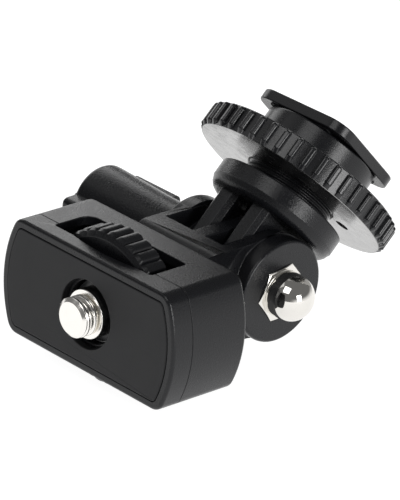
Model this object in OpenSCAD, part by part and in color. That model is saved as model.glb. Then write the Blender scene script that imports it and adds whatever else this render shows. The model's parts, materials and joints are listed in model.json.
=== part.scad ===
// Hot-shoe tilt mount: a clamping shoe foot on a 45-degree hinged swivel base,
// a fork-ended head and a captive 1/4 inch camera screw turned by a thumb wheel.
// Origin: where the camera screw's axis crosses the face of the rubber pad.
// +X runs along the hinge to the acorn nut, +Y from the pad into the head, +Z up.

/* [Head] */
// half the width of the head at the crown of its bulged ends
head_half_w = 18.7; // [17:0.1:21]
// radius of the two bulged ends
end_r = 19.5; // [19:0.1:30]
// height of the head
head_h = 18.5; // [17:0.1:20]
// depth from the pad face to the back of the box
head_d = 14.7; // [14:0.1:17]
// depth of the front cover
cover_d = 3.9; // [3.7:0.1:4.2]
// rounding of the head's four corners
corner_r = 2.3; // [1.8:0.1:3]
// wall thickness of both shells
wall = 1.4; // [1.2:0.1:1.6]

/* [Rubber pad] */
// margin between the head's outline and the pad
pad_margin = 1.4; // [1.2:0.1:1.8]
// thickness of the pad
pad_t = 1.2; // [1:0.1:1.3]
// radius of the hole in the pad
pad_hole_r = 5.3; // [5.2:0.1:6]

/* [Camera screw] */
// major radius of the 1/4"-20 UNC thread
screw_r = 3.175; // [3.175:0.001:3.175]
// how far the thread stands out of the pad face
screw_out = 2.9; // [2.5:0.1:4]
// radius of the collar behind the thread
collar_r = 3.8; // [3.5:0.1:4.2]
// depth of the collar's front face behind the pad face
collar_y = 2; // [1.8:0.05:2.1]

/* [Thumb wheel] */
// radius of the wheel over its ridges
wheel_r = 12.05; // [11.5:0.05:12.3]
// front face of the wheel's rim
wheel_y = 3.3; // [3.2:0.1:3.5]
// thickness of the wheel's rim
wheel_t = 4.6; // [4.2:0.05:4.65]
// number of ridges round the wheel
wheel_ridges = 36; // [30:1:40]
// left edge of the wheel's window
slot_x0 = -11.2; // [-12:0.1:-9.8]
// right edge of the wheel's window
slot_x1 = 9.7; // [9.4:0.1:12]
// front edge of the wheel's window
slot_y0 = 3.1; // [3:0.1:3.2]
// back edge of the wheel's window
slot_y1 = 10.1; // [9:0.1:11]
// depth of the finger scoop in the window's front edge
scoop = 0.7; // [0.3:0.1:0.7]

/* [Hinge] */
// distance from the pad face to the hinge axis
hinge_y = 29.8; // [29.6:0.1:32]
// half the width over the two ears
ear_x = 10.3; // [9.8:0.1:11]
// inner edge of each ear's round disc
disc_x = 7.4; // [7.3:0.1:7.4]
// radius of the round discs
disc_r = 8.1; // [7.8:0.1:8.2]
// inner face of the fork's arm on the knob's side
fork_x = 7.2; // [7:0.1:7.3]
// thickness of the arm on the knob's side
arm_t = 1.5; // [1.4:0.1:2]
// inner face of the arm on the nut's side
arm_in = 5.3; // [5.3:0.05:5.6]
// outer face of the arm on the nut's side
arm_out = 7.45; // [7.4:0.05:7.6]
// half the height of the fork block
fork_z = 7.65; // [7.3:0.05:7.7]
// how far behind the pad face the fork's gap begins
fork_y = 22; // [21:0.1:22]
// inner faces of the two bosses the washers bear on
boss_x = 5.75; // [5.75:0.05:6.5]
// radius of the hinge stud, M5
stud_r = 2.5; // [2.5:0.1:2.5]
// radial clearance of the stud in its bores
stud_gap = 0.08; // [0.03:0.01:0.09]

/* [Wing knob] */
// radius of the knob's barrel at its outer end
knob_r = 5.8; // [5.6:0.1:6.2]
// radius of the barrel where it meets the washer
knob_root_r = 5.3; // [5:0.1:5.6]
// outer end of the knob, measured from the middle of the head
knob_x = 30.5; // [26:0.1:34]
// reach of the wings from the hinge axis
wing_r = 8; // [7.6:0.1:10]
// thickness of the wings
wing_t = 4.8; // [4:0.1:8]
// length of the wings along the barrel
wing_l = 10; // [8:0.1:14]
// angle at which the wings stand, from level
wing_turn = 2; // [-45:1:45]

/* [Acorn nut] */
// width across the flats, M5
nut_af = 8; // [8:0.1:8]
// radius of the dome
dome_r = 3.65; // [3.5:0.05:3.8]

/* [Swivel base] */
// how far the swivel axis leans back from upright
lean = 45; // [0:1:90]
// radius of the round plate
plate_r = 10.7; // [9.5:0.1:11]
// distance from the hinge axis to the top of the plate
plate_a = 12.7; // [12.5:0.1:12.8]
// rounding of the plate's lower edge
plate_edge = 1.6; // [0.5:0.1:2]
// outer face of each prong from the middle
prong_x1 = 5.2; // [5:0.05:5.2]
// inner face of each prong from the middle
prong_x0 = 1.5; // [1.5:0.1:2]
// half the depth of the prongs
prong_r = 7.6; // [7:0.1:7.7]

/* [Lock ring] */
// radius over the ridges
ring_r = 16.75; // [15.5:0.05:17]
// distance from the hinge axis to the ring's underside
ring_a = 14.8; // [14.7:0.1:15]
// height of the ring
ring_h = 4.2; // [4:0.1:4.4]
// number of ridges round the ring
ring_ridges = 44; // [36:1:52]
// radius of the clamp collar above the ring
neck_r = 9.5; // [9:0.1:9.8]

/* [Shoe foot] */
// width of the foot across the shoe, ISO 518
foot_w = 18.6; // [18.5:0.05:18.6]
// length of the foot along the shoe
foot_l = 18.2; // [17.8:0.1:18.6]
// thickness of the foot, for the 2 mm slot of ISO 518
foot_t = 1.7; // [1.6:0.05:2]
// distance from the hinge axis to the top of the foot
foot_a = 25.2; // [25:0.1:25.4]
// width of the neck that runs between the shoe's rails
rail_w = 12.3; // [12:0.1:12.4]
// rounding of the foot's corners
foot_corner = 3.3; // [1.5:0.1:4]
// radius of the threaded stem under the foot
stem_r = 7.5; // [7:0.1:7.6]

/* [Hidden] */
$fn = 96;
eps = 0.01;
gap = 0.05;
hole_r = stud_r + stud_gap;
half_h = head_h / 2;
cover_screw_x = 14.2;
cover_screw_z = 4.6;
pocket_d = 1.2;
nut_top = 12.5;
hex_top = ear_x + 0.35;
neck_a = foot_a - foot_t - 0.1;
hub_y = wheel_y - 0.9;
shoulder_a = 16.9;
spindle_r = 6.1;
black = [0.05, 0.05, 0.055];
soft_black = [0.09, 0.09, 0.095];
nickel = [0.78, 0.76, 0.72];
silver = [0.82, 0.82, 0.8];

// ---- helpers ----

// extrudes a shape drawn in X-Z from y0 to y1
module along_y(y0, y1) {
    translate([0, y1, 0])
        rotate([90, 0, 0])
            linear_extrude(y1 - y0)
                children();
}

// extrudes a shape drawn in Y-Z from x0 to x1
module along_x(x0, x1) {
    translate([x0, 0, 0])
        rotate([90, 0, 90])
            linear_extrude(x1 - x0)
                children();
}

// extrudes a shape drawn across the swivel axis from height a0 to a1
module along_a(a0, a1) {
    translate([0, 0, a0])
        linear_extrude(a1 - a0)
            children();
}

// places its children on the leaning swivel axis, hinge axis at the origin
module on_swivel() {
    translate([0, hinge_y, 0])
        rotate([-lean, 0, 0])
            children();
}

// a round disc on the hinge axis from x0 to x1
module hinge_disc(x0, x1, r) {
    along_x(x0, x1)
        translate([hinge_y, 0])
            circle(r);
}

// the head's outline, brought in by t: flat top and bottom, bulged ends, round corners
module head_outline(t) {
    r = end_r - t;
    h = half_h - t;
    c = max(corner_r - t, 0.4);
    cx = head_half_w - end_r;
    fx = cx + sqrt((r - c) * (r - c) - (h - c) * (h - c));
    tz = (h - c) * r / (r - c);
    intersection() {
        translate([cx, 0])
            circle(r);
        translate([-cx, 0])
            circle(r);
        square([2 * head_half_w + 2, 2 * tz], center = true);
    }
    square([2 * fx, 2 * h], center = true);
    for (sx = [-1, 1], sz = [-1, 1])
        translate([sx * fx, sz * (h - c)])
            circle(c);
}

// the thumb wheel's window through the top and bottom walls
module wheel_window() {
    for (sz = [-1, 1]) {
        z0 = sz > 0 ? half_h - wall - 0.6 : -half_h - 1;
        translate([slot_x0, slot_y0, z0])
            cube([slot_x1 - slot_x0, slot_y1 - slot_y0, wall + 1.6]);
    }
}

// shallow arc that lets a finger reach the wheel over the window's front edge
module finger_scoop() {
    half_l = 7;
    r = (half_l * half_l + scoop * scoop) / (2 * scoop);
    for (sz = [-1, 1]) {
        z0 = sz > 0 ? half_h - wall - 0.6 : -half_h - 1;
        intersection() {
            translate([0, slot_y0 - scoop + r, z0])
                cylinder(r = r, h = wall + 1.6);
            translate([-half_l, slot_y0 - 1, z0 - 1])
                cube([2 * half_l, 2, wall + 4]);
        }
    }
}

// ---- head ----

module front_cover() {
    color(black)
        difference() {
            along_y(0.1, cover_d)
                head_outline(0);
            along_y(-1, pad_t + 0.05)
                head_outline(pad_margin - 0.1);
            along_y(2.3, cover_d + 1)
                head_outline(wall);
            along_y(-1, cover_d + 1)
                circle(4.9);
            wheel_window();
            finger_scoop();
            for (sx = [-1, 1], sz = [-1, 1])
                translate([sx * cover_screw_x, 0, sz * cover_screw_z]) {
                    along_y(-1, cover_d)
                        circle(1.15);
                    along_y(-1, 1.75)
                        circle(2.1);
                }
        }
}

module rubber_pad() {
    color(soft_black)
        along_y(0, pad_t)
            difference() {
                head_outline(pad_margin);
                circle(pad_hole_r);
            }
}

// shell behind the front cover
module box_shell() {
    difference() {
        along_y(cover_d + gap, head_d)
            head_outline(0);
        along_y(cover_d - 1, head_d - wall)
            head_outline(wall);
        wheel_window();
    }
    // four bosses for the cover screws and the bearing boss of the wheel
    for (sx = [-1, 1], sz = [-1, 1])
        translate([sx * cover_screw_x, 0, sz * cover_screw_z])
            along_y(cover_d + gap, head_d - eps)
                circle(2.0);
    along_y(8.0, head_d - eps)
        circle(4.2);
}

// side view of the fork's block: flat at the gap, rounded down towards the box
module fork_side() {
    hump_r = 2.2;
    crown_y = 19;
    translate([head_d - eps, -fork_z + 1])
        square([crown_y - head_d + 2 * eps, 2 * fork_z - 2]);
    translate([crown_y, -fork_z])
        square([fork_y - crown_y, 2 * fork_z]);
    for (s = [-1, 1])
        translate([crown_y, s * (fork_z - hump_r)])
            circle(hump_r);
}

// flat arm with a round end of radius r on the hinge axis
module fork_arm(x0, x1, r) {
    along_x(x0, x1)
        polygon([[fork_y - eps, -fork_z], [hinge_y, -r], [hinge_y, r], [fork_y - eps, fork_z]]);
    hinge_disc(x0, x1, r);
}

// fork behind the box: block, arms, round ears, washer seats and middle tongue
module fork() {
    tongue_x = prong_x0 - 0.1;
    web_x = 10.9;
    web_y0 = 16;
    web_y1 = 24.8;
    along_x(-fork_x - arm_t, arm_out)
        fork_side();
    fork_arm(-fork_x - arm_t, -fork_x, fork_z);
    difference() {
        fork_arm(arm_in, arm_out, disc_r - 0.1);
        // pocket of the friction washer
        hinge_disc(arm_in - 1, boss_x, 5.5);
    }
    fork_arm(-tongue_x, tongue_x, fork_z);
    hinge_disc(-ear_x, -disc_x, disc_r);
    hinge_disc(disc_x, ear_x, disc_r);
    hinge_disc(-fork_x - eps, -boss_x, 5.4);
    // web that stiffens the arm on the nut's side, sloping outwards and sweeping in
    intersection() {
        along_y(head_d - eps, web_y1)
            polygon([[7, -fork_z], [arm_out, -fork_z], [web_x, 0.95 - fork_z],
                     [web_x, fork_z - 0.95], [arm_out, fork_z], [7, fork_z]]);
        translate([0, 0, -fork_z - 1])
            linear_extrude(2 * fork_z + 2)
                polygon([
                    [6.9, 14], [web_x, 14],
                    for (k = [0:8])
                        let (t = k / 8)
                            [web_x - (web_x - arm_out) * (3 * t * t - 2 * t * t * t),
                             web_y0 + (web_y1 - web_y0) * t],
                    [6.9, web_y1]
                ]);
    }
}

module rear_housing() {
    color(black)
        difference() {
            union() {
                box_shell();
                fork();
            }
            // bearing bore of the camera screw
            along_y(7, 12.7)
                circle(2.06);
            // pilot holes of the cover screws
            for (sx = [-1, 1], sz = [-1, 1])
                translate([sx * cover_screw_x, 0, sz * cover_screw_z])
                    along_y(cover_d - 1, 11.2)
                        circle(0.95);
            // stud bore and the hexagonal seat of the acorn nut
            hinge_disc(-ear_x - 1, ear_x + 1, hole_r);
            along_x(ear_x - pocket_d, ear_x + 1)
                translate([hinge_y, 0])
                    rotate(8)
                        circle(d = (nut_af + 0.15) / cos(30), $fn = 6);
        }
}

module cover_screws() {
    color(nickel)
        for (sx = [-1, 1], sz = [-1, 1])
            translate([sx * cover_screw_x, 0, sz * cover_screw_z])
                difference() {
                    union() {
                        along_y(1.3, 1.75)
                            circle(1.9);
                        along_y(1.74, 10.4)
                            circle(0.95);
                    }
                    // cross slot
                    for (q = [0, 90])
                        rotate([0, q, 0])
                            translate([-1.2, 1.2, -0.2])
                                cube([2.4, 0.35, 0.4]);
                }
}

module thumb_wheel() {
    ridge_r = 0.62;
    core_r = wheel_r - 0.75;
    ridge_y = wheel_y + 0.9;
    back_y = wheel_y + wheel_t;
    color(soft_black) {
        // hub, face with a chamfered rim, and the washer's recess at the back
        rotate([-90, 0, 0])
            rotate_extrude()
                polygon([[3.02, hub_y], [4.85, hub_y], [4.85, wheel_y], [core_r - 0.6, wheel_y],
                         [core_r, ridge_y], [core_r, back_y], [4.25, back_y], [4.25, 7.2],
                         [3.02, 7.2]]);
        for (i = [0:wheel_ridges - 1])
            rotate([0, i * 360 / wheel_ridges, 0])
                translate([wheel_r - ridge_r, 0, 0])
                    along_y(ridge_y + 0.1, back_y - 0.1)
                        circle(ridge_r);
    }
}

module camera_screw() {
    thread_end = -screw_out;
    color(nickel) {
        // thread, with its tip chamfered
        translate([0, thread_end + 0.5, 0])
            rotate([90, 0, 0])
                cylinder(r1 = screw_r, r2 = 2.7, h = 0.5);
        along_y(thread_end + 0.5, collar_y + eps)
            circle(screw_r);
        along_y(collar_y, hub_y)
            circle(collar_r);
        // shank pressed in the wheel, then the rear journal
        along_y(hub_y - eps, 7.2)
            circle(3.0);
        along_y(7.2 - eps, 12.4)
            circle(2.0);
    }
}

module wheel_washer() {
    color(nickel)
        along_y(7.25, 7.95)
            difference() {
                circle(4.0);
                circle(2.1);
            }
}

// ---- hinge ----

// barrel with a rounded outer end that tapers towards the hinge
module knob_barrel() {
    edge_r = 1.0;
    x0 = -knob_x + wing_l + 0.5;
    x1 = -ear_x - 0.9;
    hinge_disc(-knob_x + edge_r, x0, knob_r);
    hinge_disc(-knob_x, x0, knob_r - edge_r);
    translate([x0 - eps, hinge_y, 0])
        rotate([0, 90, 0])
            cylinder(r1 = knob_r, r2 = knob_root_r, h = x1 - x0 + eps);
    translate([-knob_x + edge_r, hinge_y, 0])
        rotate([0, 90, 0])
            rotate_extrude()
                translate([knob_r - edge_r, 0])
                    circle(edge_r);
}

module wing_knob() {
    corner = 1.0;
    color(soft_black)
        difference() {
            union() {
                knob_barrel();
                along_x(-knob_x + 0.2, -knob_x + wing_l)
                    translate([hinge_y, 0])
                        rotate(wing_turn) {
                            square([2 * (wing_r - corner), wing_t], center = true);
                            square([2 * wing_r, wing_t - 2 * corner], center = true);
                            for (sy = [-1, 1], sz = [-1, 1])
                                translate([sy * (wing_r - corner), sz * (wing_t / 2 - corner)])
                                    circle(corner);
                        }
            }
            hinge_disc(-knob_x + 4, 0, stud_r + 0.02);
        }
}

module tilt_stud() {
    color(nickel)
        hinge_disc(-knob_x + 4.1, nut_top - 0.2, stud_r);
}

module ring_washer(x0, x1, r_out) {
    along_x(x0, x1)
        translate([hinge_y, 0])
            difference() {
                circle(r_out);
                circle(stud_r + 0.15);
            }
}

module knob_washer() {
    color(nickel)
        ring_washer(-ear_x - 0.85, -ear_x - 0.05, 5.2);
}

module acorn_nut() {
    neck = nut_top - 0.2 - hex_top + 0.3;
    color(nickel)
        difference() {
            union() {
                along_x(ear_x - pocket_d + gap, hex_top)
                    translate([hinge_y, 0])
                        rotate(8)
                            circle(d = nut_af / cos(30), $fn = 6);
                // dome on its short neck
                translate([nut_top - 0.2, hinge_y, 0])
                    rotate([0, 90, 0])
                        rotate_extrude() {
                            translate([0, -neck])
                                square([dome_r, neck]);
                            intersection() {
                                circle(dome_r);
                                square(dome_r + 1);
                            }
                        }
            }
            hinge_disc(0, nut_top - 0.1, stud_r + 0.05);
        }
}

module friction_washer_left() {
    color(silver)
        ring_washer(-boss_x + 0.02, -prong_x1 - gap, 5.2);
}

module friction_washer_right() {
    color(silver)
        ring_washer(prong_x1 + gap, boss_x - 0.02, 5.2);
}

// ---- swivel base and shoe ----

module swivel_base() {
    chamfer = 1.1;
    step_a = disc_r + 0.35;
    edge_a = step_a + plate_edge;
    color(black)
        on_swivel()
            difference() {
                union() {
                    // round plate, its lower edge rounded
                    rotate_extrude() {
                        translate([0, step_a])
                            square([plate_r - plate_edge, plate_a - step_a]);
                        translate([0, edge_a])
                            square([plate_r, plate_a - edge_a]);
                        intersection() {
                            translate([plate_r - plate_edge, edge_a])
                                circle(plate_edge);
                            translate([0, step_a])
                                square([plate_r, plate_edge + eps]);
                        }
                    }
                    // two prongs with round ends on the hinge axis
                    for (s = [-1, 1]) {
                        x0 = s > 0 ? prong_x0 : -prong_x1;
                        translate([x0, -prong_r, 0])
                            cube([prong_x1 - prong_x0, 2 * prong_r, step_a + 1]);
                        translate([x0, 0, 0])
                            rotate([0, 90, 0])
                                cylinder(r = prong_r, h = prong_x1 - prong_x0);
                    }
                }
                // hinge bore
                translate([-20, 0, 0])
                    rotate([0, 90, 0])
                        cylinder(r = hole_r, h = 40);
                // countersink, screw hole and key hole of the foot
                along_a(0, plate_a + 1)
                    circle(2.15);
                along_a(0, plate_a - 2.2)
                    circle(4.1);
                translate([0, 5.2, 0])
                    along_a(plate_a - 2, plate_a + 1)
                        circle(0.8);
                // chamfered long edges of the prongs
                for (x = [-prong_x1, -prong_x0, prong_x0, prong_x1], side = [-1, 1])
                    translate([x, side * prong_r, -prong_r - 1])
                        rotate(45)
                            translate([-chamfer, -chamfer, 0] / 2)
                                cube([chamfer, chamfer, prong_r + 1 + step_a]);
            }
}

module shoe_foot() {
    corner = foot_corner;
    foot_bottom = foot_a - foot_t;
    color(black)
        on_swivel()
            difference() {
                union() {
                    along_a(foot_bottom, foot_a) {
                        square([foot_w - 2 * corner, foot_l], center = true);
                        square([foot_w, foot_l - 2 * corner], center = true);
                        for (sx = [-1, 1], sy = [-1, 1])
                            translate([sx * (foot_w / 2 - corner), sy * (foot_l / 2 - corner)])
                                circle(corner);
                    }
                    // neck between the rails
                    along_a(neck_a + gap, foot_bottom + eps)
                        square([rail_w, foot_l - 1.6], center = true);
                    // spindle inside the clamp collar, and the threaded stem below it
                    along_a(shoulder_a - eps, neck_a + gap + eps)
                        circle(spindle_r);
                    along_a(plate_a, shoulder_a)
                        circle(stem_r);
                }
                along_a(plate_a - 1, 21.5)
                    circle(1.75);
                translate([0, 5.2, 0])
                    along_a(plate_a - 1, plate_a + 2.1)
                        circle(0.8);
            }
}

module foot_screw() {
    head_a = plate_a - 2.2 - 0.9;
    color(nickel)
        on_swivel()
            difference() {
                union() {
                    along_a(head_a - 1.75, head_a)
                        circle(3.5);
                    along_a(head_a - eps, plate_a)
                        circle(2.0);
                    along_a(plate_a - eps, 21)
                        circle(1.75);
                }
                along_a(head_a - 3, head_a - 0.8)
                    circle(d = 3 / cos(30), $fn = 6);
            }
}

module foot_lock_washer() {
    color(nickel)
        on_swivel()
            along_a(plate_a - 2.2 - 0.87, plate_a - 2.2)
                difference() {
                    circle(3.6);
                    circle(2.15);
                    translate([0, -0.25])
                        square([5, 0.5]);
                }
}

module foot_key_pin() {
    color(nickel)
        on_swivel()
            translate([0, 5.2, 0])
                along_a(plate_a - 1.95, plate_a + 2)
                    circle(0.78);
}

module clamp_collar() {
    color(black)
        on_swivel()
            along_a(ring_a + ring_h + gap, neck_a)
                difference() {
                    circle(neck_r);
                    circle(spindle_r + 0.06);
                }
}

module lock_ring() {
    ridge_r = 0.65;
    recess_a = ring_a + 0.65;
    top = ring_a + ring_h;
    color(black)
        on_swivel()
            difference() {
                union() {
                    along_a(recess_a - 0.4, top)
                        circle(ring_r - 0.5);
                    for (i = [0:ring_ridges - 1])
                        rotate(i * 360 / ring_ridges)
                            translate([ring_r - ridge_r, 0, 0])
                                along_a(ring_a + 0.1, top - 0.4)
                                    circle(ridge_r);
                }
                along_a(ring_a - 1, top + 1)
                    circle(stem_r + 0.06);
                // recess of the silver plate
                along_a(ring_a - 1, recess_a)
                    circle(ring_r - 0.55);
            }
}

module ring_plate() {
    hole_pitch_r = 9.6;
    hole_angle = 41;
    color(silver)
        on_swivel()
            along_a(ring_a, ring_a + 0.6)
                difference() {
                    circle(ring_r - 0.6);
                    circle(stem_r + 0.3);
                    // hole for a pin wrench
                    rotate(hole_angle)
                        translate([hole_pitch_r, 0])
                            circle(1.1);
                }
}

front_cover();
rear_housing();
rubber_pad();
cover_screws();
thumb_wheel();
camera_screw();
wheel_washer();
wing_knob();
tilt_stud();
knob_washer();
acorn_nut();
friction_washer_left();
friction_washer_right();
swivel_base();
shoe_foot();
foot_screw();
foot_lock_washer();
foot_key_pin();
clamp_collar();
lock_ring();
ring_plate();
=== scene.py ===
"""Looks of the hot-shoe tilt mount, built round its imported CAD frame.

Pieces are drawn in millimetres and turned into metres when they are finished.
The head is drawn in the model's own frame: X along the hinge, Y into the head,
Z up. Everything on the swivel is drawn in the swivel's frame, where Z is the
swivel axis and the origin lies on the hinge.
"""
import json
import math

import bmesh
import bpy
import numpy as np
from mathutils import Matrix, Vector


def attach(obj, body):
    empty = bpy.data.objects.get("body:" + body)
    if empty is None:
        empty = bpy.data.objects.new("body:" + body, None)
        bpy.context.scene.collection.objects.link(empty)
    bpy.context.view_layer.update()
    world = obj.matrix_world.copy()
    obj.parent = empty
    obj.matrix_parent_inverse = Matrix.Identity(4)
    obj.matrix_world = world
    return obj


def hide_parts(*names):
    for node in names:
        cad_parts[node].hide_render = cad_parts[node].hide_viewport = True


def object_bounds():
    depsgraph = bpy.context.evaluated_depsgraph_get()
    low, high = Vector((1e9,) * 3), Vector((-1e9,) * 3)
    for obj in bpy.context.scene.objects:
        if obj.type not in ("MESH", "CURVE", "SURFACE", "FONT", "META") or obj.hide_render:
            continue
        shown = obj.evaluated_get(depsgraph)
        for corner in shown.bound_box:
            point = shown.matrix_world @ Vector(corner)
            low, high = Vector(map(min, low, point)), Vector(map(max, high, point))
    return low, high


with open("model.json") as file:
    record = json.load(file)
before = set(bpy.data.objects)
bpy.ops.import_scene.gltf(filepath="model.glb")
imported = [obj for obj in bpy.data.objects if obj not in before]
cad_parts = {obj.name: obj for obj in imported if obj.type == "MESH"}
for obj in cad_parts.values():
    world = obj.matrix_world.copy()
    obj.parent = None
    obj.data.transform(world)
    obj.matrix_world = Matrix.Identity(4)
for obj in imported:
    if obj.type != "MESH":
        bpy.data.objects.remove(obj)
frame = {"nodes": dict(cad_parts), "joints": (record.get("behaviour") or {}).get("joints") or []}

cad_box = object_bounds()
MM = 0.001
TURN = 2 * math.pi

# ---------------------------------------------------------------- the frame's own sizes

joints = {joint["name"]: joint for joint in frame["joints"]}
hinge = Vector(joints["tilt"]["pos_m"]) / MM
swivel_axis = Vector(joints["ring_turn"]["axis"]).normalized()
across = swivel_axis.cross(Vector((1, 0, 0)))
SWIVEL = Matrix((
    (1, across.x, swivel_axis.x, hinge.x),
    (0, across.y, swivel_axis.y, hinge.y),
    (0, across.z, swivel_axis.z, hinge.z),
    (0, 0, 0, 1),
))
HEAD = Matrix.Identity(4)


def span(node, axis, origin=(0, 0, 0)):
    """Lowest and highest place of a CAD node along an axis, in millimetres."""
    points = np.array([v.co for v in frame["nodes"][node].data.vertices]) / MM
    along = (points - np.array(origin)) @ np.array(axis)
    return float(along.min()), float(along.max())


def reach(node, axis, origin=(0, 0, 0)):
    """Largest distance of a CAD node from an axis, in millimetres."""
    points = np.array([v.co for v in frame["nodes"][node].data.vertices]) / MM
    off = points - np.array(origin)
    axis = np.array(axis)
    return float(np.linalg.norm(off - np.outer(off @ axis, axis), axis=1).max())


X_AXIS, Y_AXIS, Z_AXIS = (1, 0, 0), (0, 1, 0), (0, 0, 1)
half_w = span("front_cover", X_AXIS)[1]
half_h = span("front_cover", Z_AXIS)[1]
rim_y, cover_y = span("front_cover", Y_AXIS)
pad_y, pad_back = span("rubber_pad", Y_AXIS)
screw_tip = span("camera_screw", Y_AXIS)[0]
wheel_r = reach("thumb_wheel", Y_AXIS)
knob_end = span("wing_knob", X_AXIS)[0]
knob_in = span("wing_knob", X_AXIS)[1]
plate_top = span("swivel_base", swivel_axis, hinge)[1]
plate_r = reach("swivel_base", swivel_axis, hinge)
foot_top = span("shoe_foot", swivel_axis, hinge)[1]
foot_half_w = span("shoe_foot", X_AXIS)[1]
foot_half_l = span("shoe_foot", across, hinge)[1]
collar_lo, collar_hi = span("clamp_collar", swivel_axis, hinge)
collar_r = reach("clamp_collar", swivel_axis, hinge)
ring_hi = span("lock_ring", swivel_axis, hinge)[1]
ring_r = reach("lock_ring", swivel_axis, hinge)
silver_lo, silver_hi = span("ring_plate", swivel_axis, hinge)
silver_r = reach("ring_plate", swivel_axis, hinge)

# ---------------------------------------------------------------- mesh tools


def new_piece(name, verts, faces):
    """A closed mesh in millimetres, its faces turned outwards."""
    mesh = bpy.data.meshes.new(name)
    mesh.from_pydata([tuple(v) for v in verts], [], [tuple(f) for f in faces])
    piece = bpy.data.objects.new(name, mesh)
    bpy.context.scene.collection.objects.link(piece)
    made = bmesh.new()
    made.from_mesh(mesh)
    bmesh.ops.remove_doubles(made, verts=made.verts, dist=1e-4)
    bmesh.ops.recalc_face_normals(made, faces=made.faces)
    made.to_mesh(mesh)
    made.free()
    return piece


PLACES = {
    "X": lambda u, v, w: (w, u, v),
    "Y": lambda u, v, w: (u, w, v),
    "Z": lambda u, v, w: (u, v, w),
}


def prism(name, outline, lo, hi, axis):
    """Runs a flat outline from lo to hi along an axis."""
    return stack(name, [(outline, lo), (outline, hi)], axis)


def stack(name, layers, axis):
    """Joins outlines of equal length, each at its own height, into one solid."""
    place = PLACES[axis]
    n = len(layers[0][0])
    verts = [place(u, v, w) for outline, w in layers for u, v in outline]
    faces = [range(n), range((len(layers) - 1) * n, len(layers) * n)]
    for k in range(len(layers) - 1):
        a, b = k * n, (k + 1) * n
        faces += [(a + i, a + (i + 1) % n, b + (i + 1) % n, b + i) for i in range(n)]
    return new_piece(name, verts, faces)


def lathe(name, profile, axis, sides=96, centre=(0, 0), relief=None, ring=True):
    """Turns a profile of (radius, height) points round an axis.

    relief(angle, radius, height) is added to the radius, for threads and ridges.
    A ring's profile closes on itself; otherwise it ends on the axis at both ends.
    """
    profile = np.array(profile, float)
    angle = np.arange(sides) * TURN / sides
    radius = np.repeat(profile[:, 0][:, None], sides, axis=1)
    height = np.repeat(profile[:, 1][:, None], sides, axis=1)
    if relief is not None:
        radius = radius + relief(angle[None, :] + 0 * radius, radius, height)
    u = centre[0] + radius * np.cos(angle)
    v = centre[1] + radius * np.sin(angle)
    verts = [PLACES[axis](*p) for p in zip(u.ravel(), v.ravel(), height.ravel())]
    rows = len(profile)
    faces = []
    for k in range(rows if ring else rows - 1):
        a, b = k * sides, ((k + 1) % rows) * sides
        faces += [(a + i, a + (i + 1) % sides, b + (i + 1) % sides, b + i) for i in range(sides)]
    return new_piece(name, verts, faces)


def disc(name, lo, hi, radius, axis, sides=96, centre=(0, 0)):
    """A plain round bar."""
    profile = [(0, lo), (radius, lo), (radius, hi), (0, hi)]
    return lathe(name, profile, axis, sides, centre, ring=False)


def hinge_disc(name, lo, hi, radius, sides=64):
    """A plain round bar on the hinge axis of the head."""
    return disc(name, lo, hi, radius, "X", sides, (hinge.y, 0))


def arc(cx, cy, radius, start, end, steps):
    """Points along an arc, angles in degrees."""
    angles = [math.radians(start + (end - start) * i / steps) for i in range(steps + 1)]
    return [(cx + radius * math.cos(t), cy + radius * math.sin(t)) for t in angles]


def rounded(points, radii, steps=5):
    """A polygon with each corner replaced by an arc of its own radius."""
    made = []
    n = len(points)
    for i, (p, r) in enumerate(zip(points, radii)):
        if r <= 0:
            made.append(tuple(p))
            continue
        p = Vector(p)
        into = (Vector(points[i - 1]) - p).normalized()
        out = (Vector(points[(i + 1) % n]) - p).normalized()
        half = into.angle(out) / 2
        start = p + into * (r / math.tan(half))
        end = p + out * (r / math.tan(half))
        middle = p + (into + out).normalized() * (r / math.sin(half))
        a0 = math.atan2(*(start - middle).yx)
        a1 = math.atan2(*(end - middle).yx)
        a1 = a0 + (a1 - a0 + math.pi) % TURN - math.pi
        for k in range(steps + 1):
            t = a0 + (a1 - a0) * k / steps
            made.append((middle.x + r * math.cos(t), middle.y + r * math.sin(t)))
    return made


def settle(piece):
    """Applies a piece's modifiers."""
    graph = bpy.context.evaluated_depsgraph_get()
    mesh = bpy.data.meshes.new_from_object(piece.evaluated_get(graph), depsgraph=graph)
    piece.modifiers.clear()
    old, piece.data = piece.data, mesh
    bpy.data.meshes.remove(old)
    return piece


def combine(piece, *tools, how="DIFFERENCE"):
    """Cuts the tools from a piece, or joins them to it, and removes the tools."""
    for tool in tools:
        step = piece.modifiers.new("combine", "BOOLEAN")
        step.solver = "EXACT"
        step.operation = how
        step.object = tool
        settle(piece)
        bpy.data.objects.remove(tool)
    return piece


def soften(piece, width_at, segments=3, crease=28):
    """Rounds the edges sharper than crease, an angle in degrees.

    width_at(middle, edge) gives each edge's rounding in millimetres, from its middle.
    """
    made = bmesh.new()
    made.from_mesh(piece.data)
    bmesh.ops.remove_doubles(made, verts=made.verts, dist=2e-4)
    bmesh.ops.dissolve_degenerate(made, edges=made.edges, dist=1e-4)
    made.normal_update()
    weight = made.edges.layers.float.get("bevel_weight_edge")
    weight = weight or made.edges.layers.float.new("bevel_weight_edge")
    widths = []
    for edge in made.edges:
        sharp = len(edge.link_faces) == 2 and edge.calc_face_angle(0) > math.radians(crease)
        middle = (edge.verts[0].co + edge.verts[1].co) / 2
        edge[weight] = width_at(middle, edge) if sharp else 0.0
        widths.append(edge[weight])
    widest = max(widths) or 1.0
    for edge in made.edges:
        edge[weight] = edge[weight] / widest
    made.to_mesh(piece.data)
    made.free()
    bevel = piece.modifiers.new("soften", "BEVEL")
    bevel.limit_method = "WEIGHT"
    bevel.width = widest
    bevel.segments = segments
    bevel.use_clamp_overlap = False
    bevel.harden_normals = False
    return settle(piece)


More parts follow.
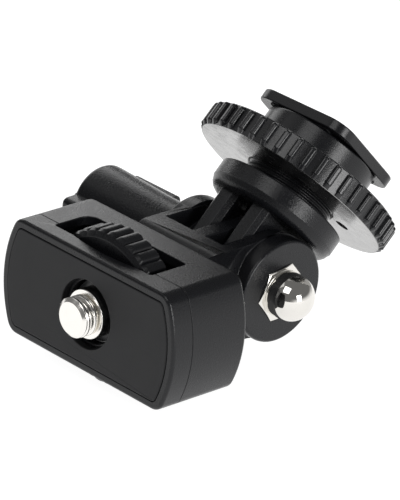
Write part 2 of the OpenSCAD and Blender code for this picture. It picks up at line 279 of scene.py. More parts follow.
def shade(piece, angle=32):
    """Smooth shading that keeps flat faces flat, with edges sharper than angle kept crisp."""
    made = bmesh.new()
    made.from_mesh(piece.data)
    for face in made.faces:
        face.smooth = True
    for edge in made.edges:
        edge.smooth = not (
            len(edge.link_faces) == 2 and edge.calc_face_angle(0) > math.radians(angle)
        )
    made.to_mesh(piece.data)
    made.free()
    even = piece.modifiers.new("even", "WEIGHTED_NORMAL")
    even.keep_sharp = True
    even.weight = 60
    return settle(piece)


def done(piece, body, nodes, material, place=HEAD):
    """Scales a piece to metres, places it, gives it its finish and its body."""
    piece.data.transform(Matrix.Scale(MM, 4))
    matrix = place.copy()
    matrix.translation = place.translation * MM
    piece.matrix_world = matrix
    piece.data.materials.clear()
    piece.data.materials.append(material)
    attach(piece, body)
    if nodes:
        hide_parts(*nodes)
    return piece


# ---------------------------------------------------------------- materials


class Nodes:
    """A short way to write a material's node tree."""

    def __init__(self, name):
        self.material = bpy.data.materials.new(name)
        self.material.use_nodes = True
        self.tree = self.material.node_tree
        self.shader = self.tree.nodes["Principled BSDF"]
        self.place = self.add("ShaderNodeTexCoord").outputs["Object"]

    def add(self, kind, links=None, **values):
        node = self.tree.nodes.new(kind)
        for key, value in values.items():
            if hasattr(node, key):
                setattr(node, key, value)
            else:
                node.inputs[key.replace("_", " ")].default_value = value
        for key, source in (links or {}).items():
            self.tree.links.new(source, node.inputs[key])
        return node

    def set(self, **values):
        for key, value in values.items():
            self.shader.inputs[key.replace("_", " ")].default_value = value

    def link(self, source, socket):
        self.tree.links.new(source, self.shader.inputs[socket])

    def noise(self, size, detail=3.0, rough=0.55, place=None):
        """Noise whose features are about size millimetres across."""
        return self.add(
            "ShaderNodeTexNoise", {"Vector": place or self.place},
            Scale=1 / (size * MM), Detail=detail, Roughness=rough,
        ).outputs["Fac"]

    def range(self, source, lo, hi, out_lo, out_hi):
        return self.add(
            "ShaderNodeMapRange", {"Value": source},
            From_Min=lo, From_Max=hi, To_Min=out_lo, To_Max=out_hi,
        ).outputs["Result"]

    def mix(self, factor, first, second):
        node = self.add("ShaderNodeMix", data_type="RGBA")
        self.tree.links.new(factor, node.inputs[0])
        node.inputs[6].default_value = (*first, 1)
        node.inputs[7].default_value = (*second, 1)
        return node.outputs[2]

    def maths(self, operation, a, b):
        node = self.add("ShaderNodeMath", operation=operation)
        for socket, value in zip(node.inputs, (a, b)):
            if isinstance(value, (int, float)):
                socket.default_value = value
            else:
                self.tree.links.new(value, socket)
        return node.outputs[0]

    def bump(self, height, strength, depth, under=None):
        """Bump of depth millimetres."""
        links = {"Height": height}
        if under is not None:
            links["Normal"] = under
        node = self.add("ShaderNodeBump", links, Strength=strength, Distance=depth * MM)
        return node.outputs["Normal"]


def scaled(tone, by):
    """A tone made darker or lighter."""
    return tuple(min(1, c * by) for c in tone)


def plastic(name, tone, rough, grain, depth, specular=0.35):
    """Moulded black plastic: spark-eroded grain, handling marks and polished high edges.

    grain is the size of the grain and depth its height, both in millimetres.
    """
    marks_mm = 6.0
    edge_gloss = 0.08
    n = Nodes(name)
    grains = n.noise(grain, 2.0, 0.6)
    cells = n.add("ShaderNodeTexVoronoi", {"Vector": n.place}, Scale=1 / (grain * 1.3 * MM))
    marks = n.noise(marks_mm, 5.0, 0.6)
    surface = n.maths("ADD", n.maths("MULTIPLY", grains, 0.7),
                      n.maths("MULTIPLY", cells.outputs["Distance"], 0.5))
    pointed = n.add("ShaderNodeNewGeometry").outputs["Pointiness"]
    edge = n.range(pointed, 0.52, 0.60, 0.0, 1.0)
    wear = n.maths("ADD", n.maths("MULTIPLY", marks, 0.8), n.maths("MULTIPLY", edge, 0.5))
    n.link(n.mix(wear, scaled(tone, 0.88), scaled(tone, 1.25)), "Base Color")
    rough_of = n.maths("ADD", n.range(marks, 0.35, 0.65, rough - 0.02, rough + 0.02),
                       n.range(grains, 0.3, 0.7, -0.05, 0.05))
    polished = n.maths("SUBTRACT", rough_of, n.maths("MULTIPLY", edge, edge_gloss))
    n.link(polished, "Roughness")
    n.link(n.bump(surface, 1.0, depth), "Normal")
    n.set(Specular_IOR_Level=specular)
    return n.material


def rubber(name, tone, rough):
    """Matt pad with a fine grain and faint handling marks."""
    grain_mm, grain_height, marks_mm = 0.26, 0.018, 5.0
    n = Nodes(name)
    fine = n.noise(grain_mm, 3.0, 0.65)
    marks = n.noise(marks_mm, 5.0, 0.65)
    n.link(n.mix(marks, scaled(tone, 0.85), scaled(tone, 1.2)), "Base Color")
    n.link(n.range(marks, 0.3, 0.7, rough - 0.04, rough + 0.05), "Roughness")
    n.link(n.bump(fine, 1.0, grain_height), "Normal")
    n.set(Specular_IOR_Level=0.22)
    return n.material


def metal(name, tone, rough, scratch=0.004, anisotropic=0.0, rings=False):
    """Plated or machined metal: slight waviness, fine scratches and a mottled polish.

    scratch is the depth of the scratches in millimetres. With rings they run
    round the piece's own Z axis, as on a turned face.
    """
    marks_mm, scratch_mm, ring_mm, wave_mm = 1.6, 0.25, 0.9, 3.5
    n = Nodes(name)
    marks = n.noise(marks_mm, 4.0, 0.6)
    n.link(n.mix(marks, scaled(tone, 0.93), scaled(tone, 1.05)), "Base Color")
    n.link(n.range(marks, 0.3, 0.7, rough * 0.75, rough * 1.3), "Roughness")
    if rings:
        turned = n.add("ShaderNodeTexWave", {"Vector": n.place}, wave_type="RINGS",
                       rings_direction="Z", Scale=1 / (ring_mm * MM), Distortion=0.6, Detail=2.0)
        fine = n.bump(turned.outputs["Fac"], 0.6, scratch)
        round_z = n.add("ShaderNodeTangent", direction_type="RADIAL", axis="Z")
        n.link(round_z.outputs["Tangent"], "Tangent")
    else:
        fine = n.bump(n.noise(scratch_mm, 4.0, 0.7), 0.5, scratch)
    n.link(n.bump(n.noise(wave_mm, 2.0), 0.5, scratch * 2, fine), "Normal")
    n.set(Metallic=1.0, Anisotropic=anisotropic)
    return n.material


BLACK = (0.0075, 0.0078, 0.0092)
moulded = plastic("moulded_black", BLACK, 0.31, 0.20, 0.024, 0.32)
wheel_black = plastic("wheel_black", BLACK, 0.30, 0.14, 0.006)
knob_black = plastic("knob_black", BLACK, 0.24, 0.22, 0.042, 0.30)
prong_black = plastic("base_black", BLACK, 0.27, 0.20, 0.030, 0.30)
ring_black = plastic("ring_black", BLACK, 0.24, 0.18, 0.008, 0.50)
foot_black = plastic("foot_black", BLACK, 0.27, 0.18, 0.008)
pad_black = rubber("pad_rubber", (0.0125, 0.0127, 0.0138), 0.46)
nickel = metal("bright_nickel", (0.80, 0.78, 0.74), 0.06, 0.002)
screw_nickel = metal("screw_nickel", (0.92, 0.90, 0.86), 0.20, 0.003)
zinc = metal("zinc_steel", (0.55, 0.55, 0.54), 0.28)
silver = metal("spun_aluminium", (0.36, 0.358, 0.355), 0.22, 0.0005, 0.25, True)
fibre = rubber("fibre_washer", (0.05, 0.045, 0.04), 0.6)

# ---------------------------------------------------------------- the head

END_R = 19.5  # bulge of the head's ends
CORNER_R = 2.3
WALL = 1.4
BOX_BACK = 14.7
SEAM = 0.05
PAD_MARGIN = 1.4
SCREW_HOLE_R = 4.9
PAD_HOLE_R = 5.3
WINDOW_X = (-11.2, 9.7)
WINDOW_Y = (3.1, 10.1)
SCOOP = 0.7
SCOOP_HALF = 7.0
FORK_FRONT = BOX_BACK - 0.3
FORK_BACK = 22.0
FORK_Z = 7.65
ARM_LEFT = (8.7, 7.2)
ARM_RIGHT = (5.3, 7.45)
TONGUE = 1.4
EAR_X = 10.3
EAR_IN = 7.4
EAR_R = 8.1
STUD_HOLE_R = 2.58
NUT_TURN = 8  # degrees that the nut and its seat are turned
FINE = 0.05  # rounding of edges that hardly show


def rectangle(half_u, half_v, corner_r, steps):
    """A rectangle with round corners, centred on the origin."""
    corners = [(-half_u, -half_v), (half_u, -half_v), (half_u, half_v), (-half_u, half_v)]
    return rounded(corners, [corner_r] * 4, steps)


def hexagon(corner_r):
    """A hexagon in the hinge's plane, turned as the nut is."""
    angles = (math.radians(NUT_TURN + 60 * k) for k in range(6))
    return [(corner_r * math.cos(t), corner_r * math.sin(t)) for t in angles]


def head_outline(inset):
    """Flat top and bottom, bulged ends and round corners, brought in by inset."""
    r = END_R - inset
    h = half_h - inset
    c = max(CORNER_R - inset, 0.4)
    cx = half_w - END_R
    fx = cx + math.sqrt((r - c) ** 2 - (h - c) ** 2)
    bend = math.degrees(math.asin((h - c) / (r - c)))
    right = arc(fx, c - h, c, -90, -bend, 7)
    right += arc(cx, 0, r, -bend, bend, 26)[1:-1]
    right += arc(fx, h - c, c, bend, 90, 7)
    return right + [(-x, -z) for x, z in right]


def depth_in_outline(x, z):
    """About how far a point lies inside the head's outline."""
    return min(half_h - abs(z), END_R - math.hypot(abs(x) - (half_w - END_R), z))


def window(z0, z1):
    """The thumb wheel's window, its far left corner rounded."""
    (x0, x1), (y0, y1) = WINDOW_X, WINDOW_Y
    corners = [(x0, y0), (x1, y0), (x1, y1), (x0, y1)]
    return prism("window", rounded(corners, [0.35, 0.35, 0.25, 1.9]), z0, z1, "Z")


def scoop_cutter(z0, z1):
    """A shallow arc in the window's front edge."""
    r = (SCOOP_HALF ** 2 + SCOOP ** 2) / (2 * SCOOP)
    y_mid = WINDOW_Y[0] - SCOOP + r
    swing = math.degrees(math.asin(SCOOP_HALF / r))
    outline = arc(0, y_mid, r, 270 - swing, 270 + swing, 24)
    outline += [(SCOOP_HALF, WINDOW_Y[0] + 1), (-SCOOP_HALF, WINDOW_Y[0] + 1)]
    return prism("scoop", outline, z0, z1, "Z")


def wall_ranges():
    """Heights between which the cutters pass through the top and the bottom wall."""
    inner, outer = half_h - WALL - 0.8, half_h + 1
    return ((inner, outer), (-outer, -inner))


def make_cover():
    """The front shell: a rounded rim round the pad, the screw's hole and the wheel's windows."""
    hollow_y = 2.3
    before, behind = -1, 6
    cover = prism("front_cover_shell", head_outline(0), rim_y, cover_y - SEAM / 2, "Y")
    recess = head_outline(PAD_MARGIN - 0.1)
    combine(cover, prism("cut", recess, before, pad_back + 0.05, "Y"))
    combine(cover, prism("cut", head_outline(WALL), hollow_y, behind, "Y"))
    combine(cover, disc("cut", before, behind, SCREW_HOLE_R, "Y"))
    for z0, z1 in wall_ranges():
        combine(cover, window(z0, z1), scoop_cutter(z0, z1))

    def width(m, edge):
        inside = depth_in_outline(m.x, m.z)
        if m.y < rim_y + 0.02:
            return 0.55 if inside < 0.95 else 0.12
        if m.y > cover_y - 0.1 and inside < 0.5:
            return 0.10
        return 0.16 if inside < 0.05 else FINE

    return shade(soften(cover, width, 4))


def make_web():
    """The slope beside the right arm, which narrows to the arm in a smooth curve."""
    inner, wide, narrow = 6.9, 10.9, ARM_RIGHT[1]
    wide_y, narrow_y = 16.0, 24.8
    level = FORK_Z - 0.015
    slope = [(6.6, FORK_Z - 0.7), (7.2, level), (narrow, level), (wide, FORK_Z - 0.95)]
    slope += [(x, -z) for x, z in reversed(slope)]
    web = prism("web", slope, FORK_FRONT, hinge.y - 2.5, "Y")
    plan = [(inner, FORK_FRONT - 0.1), (wide, FORK_FRONT - 0.1)]
    for t in np.linspace(0, 1, 25):
        eased = 3 * t ** 2 - 2 * t ** 3
        plan.append((wide - (wide - narrow) * eased, wide_y + (narrow_y - wide_y) * t))
    plan.append((inner, narrow_y))
    return combine(web, prism("plan", plan, -FORK_Z - 1, FORK_Z + 1, "Z"), how="INTERSECT")


def make_fork():
    """The hinge fork: a block with a rounded hump, two arms, a tongue and two ears."""
    hump_r, hump_y, hump_start = 2.2, 19.0, 146
    shoulder_y, shoulder_z = BOX_BACK + 1.6, FORK_Z - 1.0
    boss_x, boss_r = 5.75, 5.4
    top = [(FORK_FRONT, shoulder_z), (shoulder_y, shoulder_z)]
    top += arc(hump_y, FORK_Z - hump_r, hump_r, hump_start, 90, 10)
    below = [(y, -z) for y, z in reversed(top)]
    side = top + [(FORK_BACK, FORK_Z), (FORK_BACK, -FORK_Z)] + below
    fork = prism("fork", side, -ARM_LEFT[0], ARM_RIGHT[1], "X")
    for x0, x1, r in (
        (-ARM_LEFT[0], -ARM_LEFT[1], FORK_Z),
        (*ARM_RIGHT, EAR_R - 0.02),
        (-TONGUE, TONGUE, FORK_Z),
    ):
        start_y = FORK_BACK - 0.5
        arm = [(start_y, -FORK_Z)] + arc(hinge.y, 0, r, -90, 90, 28) + [(start_y, FORK_Z)]
        combine(fork, prism("arm", arm, x0, x1, "X"), how="UNION")
    for sign in (-1, 1):
        x0, x1 = sorted((sign * EAR_IN, sign * EAR_X))
        combine(fork, hinge_disc("ear", x0, x1, EAR_R, 96), how="UNION")
    combine(fork, hinge_disc("pocket", 5.2, boss_x, boss_r + 0.1))
    combine(fork, hinge_disc("boss", -ARM_LEFT[1] - 0.1, -boss_x, boss_r), how="UNION")
    return combine(fork, make_web(), how="UNION")


def make_housing():
    """The rear shell with the fork, the screw's bearing, the stud's bore and the nut's seat."""
    edge = 0.7
    layers = [(head_outline(0), cover_y + SEAM / 2)]
    layers += [(head_outline(edge - u), y) for u, y in arc(0, BOX_BACK - edge, edge, 0, 90, 6)]
    housing = stack("rear_housing_shell", layers, "Y")
    combine(housing, prism("cut", head_outline(WALL), 2, BOX_BACK - WALL, "Y"))
    for z0, z1 in wall_ranges():
        combine(housing, window(z0, z1))
    combine(housing, make_fork(), how="UNION")
    combine(housing, disc("boss", 8, BOX_BACK - WALL + 0.2, 4.2, "Y", 64), how="UNION")
    combine(housing, disc("bore", 7, 12.7, 2.06, "Y", 48))
    combine(housing, hinge_disc("bore", -EAR_X - 1, EAR_X + 1, STUD_HOLE_R))
    seat = [(hinge.y + y, z) for y, z in hexagon(4.7)]
    combine(housing, prism("seat", seat, EAR_X - 1.2, EAR_X + 1, "X"))

    def width(m, edge):
        inside = depth_in_outline(m.x, m.z)
        if m.y < cover_y + 0.1:
            return 0.10 if inside < 0.5 else 0.03
        if m.y < BOX_BACK - 0.8:
            return 0.16 if inside < 0.3 else FINE
        if m.y < BOX_BACK + 0.1:
            return 0.0 if inside < 0.8 else 0.2
        beside_web = abs(m.x - ARM_RIGHT[1]) < 0.1 and abs(m.z) > FORK_Z - 1.2
        if beside_web and m.y < FORK_BACK + 3:
            return 0.0
        from_hinge = math.hypot(m.y - hinge.y, m.z)
        if from_hinge < 5:
            return FINE
        if abs(m.x) > EAR_X - 0.05 and from_hinge > EAR_R - 0.1:
            return 0.5
        return 0.2

    return shade(soften(housing, width, 3))


def make_pad():
    """The rubber pad, with a round hole for the screw."""
    pad = prism("pad", head_outline(PAD_MARGIN - 0.02), pad_y, pad_back, "Y")
    combine(pad, disc("cut", -1, 3, PAD_HOLE_R, "Y", 96))

    def width(m, edge):
        return 0.18 if m.y < pad_y + 0.01 else FINE

    return shade(soften(pad, width, 3))


# ---------------------------------------------------------------- wheel and screw

RIDGES = 36


def make_wheel():
    """The thumb wheel, its ridges sloped at the front and steep at the back."""
    y0, y1 = 3.3, 7.9
    ridge = 0.55
    floor_r = wheel_r - ridge
    front_slope, back_slope = 0.95, 0.4
    half_ridge = 0.46  # half a ridge's width, as a part of the pitch

    def relief(angle, radius, height):
        around = (angle * RIDGES / TURN + 0.5) % 1 - 0.5
        bump = np.sqrt(np.clip(1 - (np.abs(around) / half_ridge) ** 2, 0, 1))
        front = np.clip((height - y0 - 0.1) / front_slope, 0, 1)
        back = np.clip((y1 - 0.08 - height) / back_slope, 0, 1)
        ends = np.minimum(front, np.sqrt(np.clip(1 - (1 - back) ** 2, 0, 1)))
        return np.where(radius > floor_r - 0.02, ridge * bump * ends, 0)

    bore_r, hub_r, hub = 3.02, 4.85, y0 - 0.9
    profile = [(bore_r, hub), (hub_r - 0.25, hub), (hub_r, hub + 0.25), (hub_r, y0 - 0.2)]
    profile += [(hub_r + 0.25, y0), (10.75, y0), (10.9, y0 + 0.05), (floor_r, y0 + 0.42)]
    profile += [(floor_r, y) for y in np.linspace(y0 + 0.48, y1 - 0.3, 30)]
    profile += [(floor_r - 0.05, y1 - 0.1), (10.6, y1), (4.4, y1), (4.2, 7.2), (bore_r, 7.2)]
    wheel = lathe("thumb_wheel_ridged", profile, "Y", RIDGES * 16, relief=relief)
    return shade(wheel, 40)


PITCH_UNC = 25.4 / 20  # 20 threads to the inch


def thread_relief(pitch, depth, hand, lo, hi, major):
    """Relief of a 60-degree thread between two heights, on walls at the major radius."""
    run_out = 0.4 * pitch

    def relief(angle, radius, height):
        phase = (height / pitch + hand * angle / TURN) % 1
        flank = np.abs(phase - 0.5) * 2
        cut = np.clip((flank - 0.12) / 0.76, 0, 1)
        cut = 0.5 - 0.5 * np.cos(math.pi * cut)
        fade = np.clip((height - lo) / run_out, 0, 1) * np.clip((hi - height) / run_out, 0, 1)
        return np.where(radius > major - 0.01, -depth * cut * fade, 0)

    return relief


def make_screw():
    """The captive screw: chamfered tip, thread, collar and the shank inside the head."""
    tip = screw_tip
    major, depth, chamfer = 3.09, 0.6, 0.55
    collar_front, collar_back, flange_r, root_r = pad_y - 0.1, 2.5, 3.8, 2.75
    shank_r, pin_r = 3.0, 2.0
    profile = [(0, tip), (2.2, tip), (major - chamfer - 0.06, tip + 0.03)]
    for k in range(7):
        t = k / 6
        profile.append((major - chamfer * (1 - t), tip + 0.07 + (chamfer - 0.1) * t))
    thread = np.arange(tip + chamfer + 0.02, collar_front - 0.3, 0.05)
    profile += [(major, y) for y in thread]
    profile += [(root_r, collar_front - 0.25), (root_r, collar_front - 0.05)]
    profile += [(flange_r - 0.15, collar_front), (flange_r, collar_front + 0.12)]
    profile += [(flange_r, collar_back), (shank_r, collar_back + 0.05)]
    profile += [(shank_r, 7.15), (pin_r, 7.2), (pin_r, 12.2), (0, 12.4)]
    start, stop = tip + chamfer - 0.1, collar_front - 0.4
    relief = thread_relief(PITCH_UNC, depth, 1, start, stop, major)
    screw = lathe("camera_screw_threaded", profile, "Y", 128, relief=relief, ring=False)
    return shade(screw, 60)


# ---------------------------------------------------------------- knob and nut


def make_knob():
    """The barrel knob, slightly conical, with one bar across it that makes both wings."""
    r, r_in = 5.8, 5.25
    edge = 1.0
    end = knob_end
    wing_far, wing_high, wing_corner, wing_turn = 8.0, 2.3, 1.0, math.radians(1.2)
    wing_x = (end + 0.25, end + 10)
    depth = end + 4
    profile = [(0, end)] + [(v, u) for u, v in arc(end + edge, r - edge, edge, 180, 90, 8)]
    profile += [(r - 0.1, end + 4), (r_in + 0.1, end + 12)]
    profile += [(r_in, knob_in - 0.25), (r_in - 0.25, knob_in)]
    profile += [(STUD_HOLE_R - 0.06, knob_in), (STUD_HOLE_R - 0.06, depth), (0, depth)]
    knob = lathe("wing_knob_body", profile, "X", 96, (hinge.y, 0), ring=False)
    cos, sin = math.cos(wing_turn), math.sin(wing_turn)
    wing = [(hinge.y + u * cos - v * sin, u * sin + v * cos)
            for u, v in rectangle(wing_far, wing_high, wing_corner, 6)]
    combine(knob, prism("wings", wing, *wing_x, "X"), how="UNION")

    def width(m, edge):
        on_wing_end = abs(m.y - hinge.y) > r and m.x < end + 0.5
        return 0.45 if on_wing_end else 0.15

    return shade(soften(knob, width, 4), 35)


def make_nut():
    """The acorn nut: a chamfered hexagon in its seat and a round dome."""
    flats = 8.1
    base, top = EAR_X - 1.15, EAR_X + 0.35
    dome_r, dome_x = 3.65, 12.3
    corner = flats / math.cos(math.radians(30)) / 2
    outline = [(hinge.y + y, z) for y, z in hexagon(corner)]
    nut = prism("acorn_nut_plated", outline, base, top, "X")
    cone = [(0, base - 1), (corner + 1, base - 1), (corner + 1, top - 0.8)]
    cone += [(flats / 2 - 0.05, top + 0.02), (0, top + 0.02)]
    combine(nut, lathe("cone", cone, "X", 96, (hinge.y, 0), ring=False), how="INTERSECT")
    dome = [(0, top - 0.6), (dome_r, top - 0.6), (dome_r, top - 0.1)]
    dome += [(dome_r, x) for x in np.linspace(top, dome_x, 5)]
    dome += [(dome_r * math.cos(t), dome_x + dome_r * math.sin(t))
             for t in np.linspace(0.05, math.pi / 2, 28)]
    combine(nut, lathe("dome", dome, "X", 96, (hinge.y, 0), ring=False), how="UNION")
    combine(nut, hinge_disc("bore", base - 2, dome_x, STUD_HOLE_R - 0.03))
    return shade(soften(nut, lambda middle, edge: 0.08, 2), 35)


# ---------------------------------------------------------------- swivel base


def make_base():
    """The round plate with its stepped underside and the two prongs."""
    prong_r, prong_x, chamfer = 7.6, (1.5, 5.2), 0.78
    under = EAR_R + 0.35
    profile = [(0, under), (8.9, under), (9.5, under + 0.1), (10.0, under + 0.4)]
    profile += [(10.35, under + 0.85), (10.56, under + 1.4), (plate_r, under + 1.62)]
    profile += [(plate_r, plate_top - 0.3)]
    profile += arc(plate_r - 0.3, plate_top - 0.3, 0.3, 0, 90, 4)[1:] + [(0, plate_top)]
    base = lathe("swivel_base_body", profile, "Z", 128, ring=False)
    root = under + 0.6
    side = [(-prong_r, root)] + arc(0, 0, prong_r, 180, 360, 40) + [(prong_r, root)]
    for sign in (-1, 1):
        lo, hi = sorted(sign * x for x in prong_x)
        prong = prism("prong", side, lo, hi, "X")
        c = chamfer
        for x in (lo, hi):
            for y in (-prong_r, prong_r):
                notch = [(x - c, y), (x, y - c), (x + c, y), (x, y + c)]
                combine(prong, prism("notch", notch, -prong_r - 1, under, "Z"))
        combine(base, prong, how="UNION")
    combine(base, disc("bore", -20, 20, STUD_HOLE_R, "X", 64))
    combine(base, disc("hole", 0, plate_top + 1, 2.15, "Z", 48))
    combine(base, disc("sink", 0, plate_top - 2.2, 4.1, "Z", 64))
    combine(base, disc("key", plate_top - 2, plate_top + 1, 0.8, "Z", 32, (0, 5.2)))

    def width(m, edge):
        if m.z > under + 0.3 or abs(m.z - under) < 0.02:
            return 0.0
        if math.hypot(m.x, m.y) < 4.3:
            return 0.04
        return 0.10 if abs(m.y) > 6 else 0.04

    return shade(soften(base, width, 2), 26)


# ---------------------------------------------------------------- foot, collar and ring

FOOT_T = 1.7
FOOT_CORNER = 3.3
FOOT_RAIL = 12.3
STEM_R = 7.5
STEM_PITCH = 0.75
SHOULDER = 16.9
SPINDLE_R = 6.1


def make_foot():
    """The flat foot and the narrower rail under it."""
    w, l = foot_half_w, foot_half_l
    rail_w, rail_l = FOOT_RAIL / 2, l - 0.8
    bottom = foot_top - FOOT_T
    foot = prism("shoe_foot_plate", rectangle(w, l, FOOT_CORNER, 10), bottom, foot_top, "Z")
    rails = rectangle(rail_w, rail_l, 0.6, 4)
    combine(foot, prism("rails", rails, collar_hi + 0.03, bottom + 0.2, "Z"), how="UNION")

    def width(m, edge):
        if abs(m.z - foot_top) < 0.01:
            return 0.22
        return 0.18 if abs(m.z - bottom) < 0.01 else FINE

    return shade(soften(foot, width, 3), 35)


def make_stem():
    """The threaded stem, with the plain spindle above its shoulder."""
    lo, hi = plate_top, foot_top - 1.0
    thread_depth = 0.30
    profile = [(0, lo), (STEM_R - 0.4, lo), (STEM_R - 0.1, lo + 0.12)]
    profile += [(STEM_R, z) for z in np.arange(lo + 0.2, SHOULDER - 0.1, 0.04)]
    profile += [(STEM_R - 0.2, SHOULDER), (SPINDLE_R, SHOULDER), (SPINDLE_R, hi), (0, hi)]
    relief = thread_relief(STEM_PITCH, thread_depth, -1, lo + 0.15, SHOULDER - 0.05, STEM_R)
    return shade(lathe("threaded_stem", profile, "Z", 160, relief=relief, ring=False), 75)


def make_collar():
    """The plain collar above the ring."""
    inner, edge = SPINDLE_R + 0.06, 0.35
    lo, hi, r = collar_lo, collar_hi, collar_r
    profile = [(inner, lo), (r - 0.1, lo), (r, lo + 0.1)]
    profile += arc(r - edge, hi - edge, edge, 0, 90, 6) + [(inner + 0.2, hi), (inner, hi - 0.2)]
    return shade(lathe("clamp_collar_body", profile, "Z", 128), 35)


RIBS = 44
RIB_PHASE = math.radians(-2.2)  # where the first rib stands


def make_ring():
    """The lock ring: each rib is a long rounded pad that ends short of both edges."""
    rib, half, flank = 0.65, 0.60, 0.42
    wall_r = ring_r - rib
    lo, hi = silver_lo + 0.06, ring_hi
    rib_lo, rib_hi = lo + 0.30 + half, hi - 0.12 - half
    pitch = TURN / RIBS

    def relief(angle, radius, height):
        around = ((angle - RIB_PHASE + pitch / 2) % pitch - pitch / 2) * ring_r
        along = height - np.clip(height, rib_lo, rib_hi)
        inside = np.clip((half - np.hypot(around, along)) / flank, 0, 1)
        rise = np.sqrt(np.clip(1 - (1 - inside) ** 2, 0, 1))
        return np.where(radius > wall_r - 0.02, rib * rise, 0)

    bore_r, seat_r, recess = STEM_R + 0.06, silver_r + 0.05, silver_hi + 0.05
    profile = [(bore_r, recess), (seat_r, recess), (seat_r, lo)]
    profile += [(wall_r - 0.12, lo), (wall_r - 0.04, lo + 0.05), (wall_r, lo + 0.14)]
    profile += [(wall_r, z) for z in np.linspace(lo + 0.2, hi - 0.14, 52)]
    profile += [(wall_r - 0.05, hi - 0.05), (wall_r - 0.14, hi)]
    profile += [(STEM_R + 0.4, hi), (bore_r, hi - 0.3)]
    ring = lathe("lock_ring_ribbed", profile, "Z", RIBS * 26, relief=relief)
    return shade(ring, 40)


def make_silver():
    """The bright plate under the ring, slightly dished, with one small hole."""
    lo, hi, r = silver_lo, silver_hi, silver_r
    inner, rim, dish = STEM_R + 0.3, silver_r - 1.2, 0.15
    hole_r, hole_out, hole_at = 1.1, 9.6, math.radians(41)
    profile = [(inner, hi), (inner, lo + 0.25), (inner + 0.1, lo + dish)]
    for k in range(1, 9):
        left = 1 - k / 8
        profile.append((rim - (rim - inner) * left, lo + dish * left))
    profile += [(r - 0.12, lo), (r, lo + 0.1), (r, hi)]
    plate = lathe("ring_plate_spun", profile, "Z", 160)
    spot = (hole_out * math.cos(hole_at), hole_out * math.sin(hole_at))
    combine(plate, disc("hole", lo - 1, hi + 1, hole_r, "Z", 40, spot))
    return shade(plate, 35)


# ---------------------------------------------------------------- build

done(make_cover(), "head", ["front_cover"], moulded)
done(make_housing(), "head", ["rear_housing"], moulded)
done(make_pad(), "head", ["rubber_pad"], pad_black)
done(make_wheel(), "wheel", ["thumb_wheel"], wheel_black)
done(make_screw(), "wheel", ["camera_screw"], screw_nickel)
done(make_nut(), "head", ["acorn_nut"], nickel)
done(make_knob(), "knob", ["wing_knob"], knob_black)
done(make_base(), "swivel", ["swivel_base"], prong_black, SWIVEL)
done(make_foot(), "swivel", ["shoe_foot"], foot_black, SWIVEL)
done(make_stem(), "swivel", [], foot_black, SWIVEL)
done(make_collar(), "collar", ["clamp_collar"], foot_black, SWIVEL)
done(make_ring(), "ring", ["lock_ring"], ring_black, SWIVEL)
done(make_silver(), "ring", ["ring_plate"], silver, SWIVEL)

kept = {
    "cover_screws": zinc, "wheel_washer": zinc, "tilt_stud": zinc, "knob_washer": zinc,
    "foot_screw": zinc, "foot_lock_washer": zinc, "foot_key_pin": zinc,
    "friction_washer_left": fibre, "friction_washer_right": fibre,
}
for node, material in kept.items():
    piece = frame["nodes"][node]
    piece.data.materials.clear()
    piece.data.materials.append(material)

# ---------------------------------------------------------------- camera

AZIMUTH = math.radians(44.84)
ELEVATION = math.radians(23.97)
ROLL = math.radians(-5.16)
CAMERA_PLACE = Vector((385.07, -364.89, 247.56)) * MM
FOCAL_MM, SENSOR_MM = 290.0, 36

forward = Vector((-math.sin(AZIMUTH) * math.cos(ELEVATION),
                  math.cos(AZIMUTH) * math.cos(ELEVATION), -math.sin(ELEVATION)))
right = Vector((math.cos(AZIMUTH), math.sin(AZIMUTH), 0))
down = forward.cross(right)
turned_right = right * math.cos(ROLL) + down * math.sin(ROLL)
turned_down = down * math.cos(ROLL) - right * math.sin(ROLL)
lens = bpy.data.cameras.new("camera")
lens.lens = FOCAL_MM
lens.sensor_width = SENSOR_MM
lens.clip_start, lens.clip_end = 0.01, 10
camera = bpy.data.objects.new("camera", lens)
bpy.context.scene.collection.objects.link(camera)
camera.matrix_world = Matrix((
    (turned_right.x, -turned_down.x, -forward.x, CAMERA_PLACE.x),
    (turned_right.y, -turned_down.y, -forward.y, CAMERA_PLACE.y),
    (turned_right.z, -turned_down.z, -forward.z, CAMERA_PLACE.z),
    (0, 0, 0, 1),
))
bpy.context.scene.camera = camera

# ---------------------------------------------------------------- floor and light

SKY, GLOW = 0.16, 0.82  # strength all round, and what the glow adds
GLOW_SIDE = (0.87, 0.48, 0.0)  # the glow stands low, on this side only
FLOOR_HALF = 3.0
world = bpy.data.worlds.new("studio")
bpy.context.scene.world = world
world.use_nodes = True
tree = world.node_tree
toward = tree.nodes.new("ShaderNodeTexCoord").outputs["Generated"]


def world_range(source, lo, hi, out_lo, out_hi):
    """A smooth step from out_lo to out_hi as the source goes from lo to hi."""
    node = tree.nodes.new("ShaderNodeMapRange")
    node.interpolation_type = "SMOOTHSTEP"
    for key, value in (("From Min", lo), ("From Max", hi), ("To Min", out_lo), ("To Max", out_hi)):
        node.inputs[key].default_value = value
    tree.links.new(source, node.inputs["Value"])
    return node.outputs["Result"]


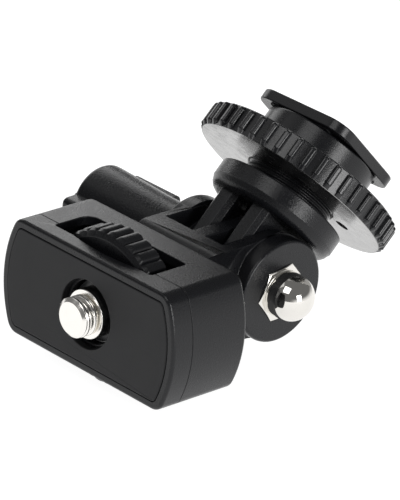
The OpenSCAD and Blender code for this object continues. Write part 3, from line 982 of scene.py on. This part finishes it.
split = tree.nodes.new("ShaderNodeSeparateXYZ")
tree.links.new(toward, split.inputs["Vector"])
side = tree.nodes.new("ShaderNodeVectorMath")
side.operation = "DOT_PRODUCT"
side.inputs[1].default_value = GLOW_SIDE
tree.links.new(toward, side.inputs[0])
glow = tree.nodes.new("ShaderNodeMath")
glow.operation = "MULTIPLY_ADD"
tree.links.new(world_range(split.outputs["Z"], 0.02, 0.30, GLOW, 0.0), glow.inputs[0])
tree.links.new(world_range(side.outputs["Value"], 0.2, 0.8, 0.0, 1.0), glow.inputs[1])
glow.inputs[2].default_value = SKY
tree.links.new(glow.outputs[0], tree.nodes["Background"].inputs["Strength"])
tree.nodes["Background"].inputs["Color"].default_value = (1, 1, 1, 1)

corners = [(-1, -1), (1, -1), (1, 1), (-1, 1)]
mesh = bpy.data.meshes.new("floor")
mesh.from_pydata([(x * FLOOR_HALF, y * FLOOR_HALF, cad_box[0].z) for x, y in corners],
                 [], [(0, 1, 2, 3)])
floor = bpy.data.objects.new("floor", mesh)
bpy.context.scene.collection.objects.link(floor)
paper = Nodes("floor_paper")
paper.link(paper.mix(paper.noise(30, 2), (0.30, 0.30, 0.30), (0.31, 0.31, 0.31)), "Base Color")
paper.set(Roughness=0.9, Specular_IOR_Level=0.1)
paper.set(Emission_Color=(1, 1, 1, 1), Emission_Strength=0.95)
mesh.materials.append(paper.material)


def softbox(name, place, target, width, height, power):
    """A rectangular soft light that looks at a point; power is in watts."""
    data = bpy.data.lights.new(name, "AREA")
    data.shape = "RECTANGLE"
    data.size, data.size_y = width, height
    data.energy = power
    lamp = bpy.data.objects.new(name, data)
    lamp.location = place
    lamp.visible_camera = False
    lamp.rotation_mode = "QUATERNION"
    lamp.rotation_quaternion = (Vector(target) - Vector(place)).to_track_quat("-Z", "Y")
    bpy.context.scene.collection.objects.link(lamp)
    return lamp


# A small card close behind the head: its glow on the head's top fades to the right.
CARD_PLACE = Vector((-0.148, 0.078, 0.078))
CARD_TARGET = Vector((-0.005, 0.008, 0.009))
softbox("back_light", CARD_PLACE, CARD_TARGET, 0.12, 0.09, 0.075)

centre = (cad_box[0] + cad_box[1]) / 2
for name, offset, width, height, power in (
    ("right_light", (0.66, -0.03, 0.17), 0.24, 0.30, 1.9),
    ("front_light", (0.10, -0.40, 0.52), 0.36, 0.34, 1.0),
    ("rear_light", (-0.28, 0.75, 0.24), 0.50, 0.34, 0.9),
    ("left_light", (-0.56, -0.36, 0.76), 0.56, 0.44, 0.4),
):
    softbox(name, centre + Vector(offset), centre, width, height, power)

bpy.context.scene.view_settings.view_transform = "Standard"
bpy.context.scene.view_settings.look = "None"
